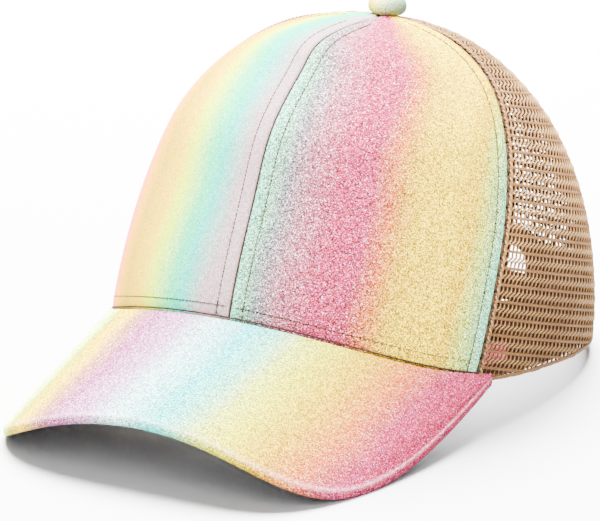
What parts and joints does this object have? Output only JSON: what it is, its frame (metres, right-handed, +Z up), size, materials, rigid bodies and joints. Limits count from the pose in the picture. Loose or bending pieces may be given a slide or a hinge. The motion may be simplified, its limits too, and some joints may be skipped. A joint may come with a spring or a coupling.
{
  "type": "ponytail baseball cap",
  "caption": "Cap with a domed crown of cloth front panels and open net, a curved peak to shade the eyes, and a strapped opening at the back for a ponytail.",
  "frame": {"origin": "middle of the bounding box at the floor that the cap rests on", "axes": "+Z up as the cap rests, the peak points to -Y, the wearer's left is +X"},
  "size_m": [0.1678, 0.256, 0.1395],
  "materials": {
    "glitter_cloth": "fine glitter, striped pink, yellow, aqua and silver",
    "net": "open knitted net, tan",
    "trim": "plain woven tape, tan",
    "peak_tuck": "fine glitter, pink"
  },
  "bodies": {
    "root": {"front_panel_left": "glitter_cloth", "front_panel_right": "glitter_cloth", "side_net_left": "net", "side_net_right": "net", "back_net_left": "net", "back_net_right": "net", "peak": "glitter_cloth", "peak_tuck_left": "peak_tuck", "peak_tuck_right": "peak_tuck", "button": "glitter_cloth", "sweatband": "trim", "front_seam_tape_left": "trim", "front_seam_tape_right": "trim", "back_seam_tape_left": "trim", "back_seam_tape_right": "trim", "rear_seam_tape": "trim", "opening_binding": "trim", "closure_strap_left": "trim", "closure_strap_right": "trim"}
  },
  "joints": []
}
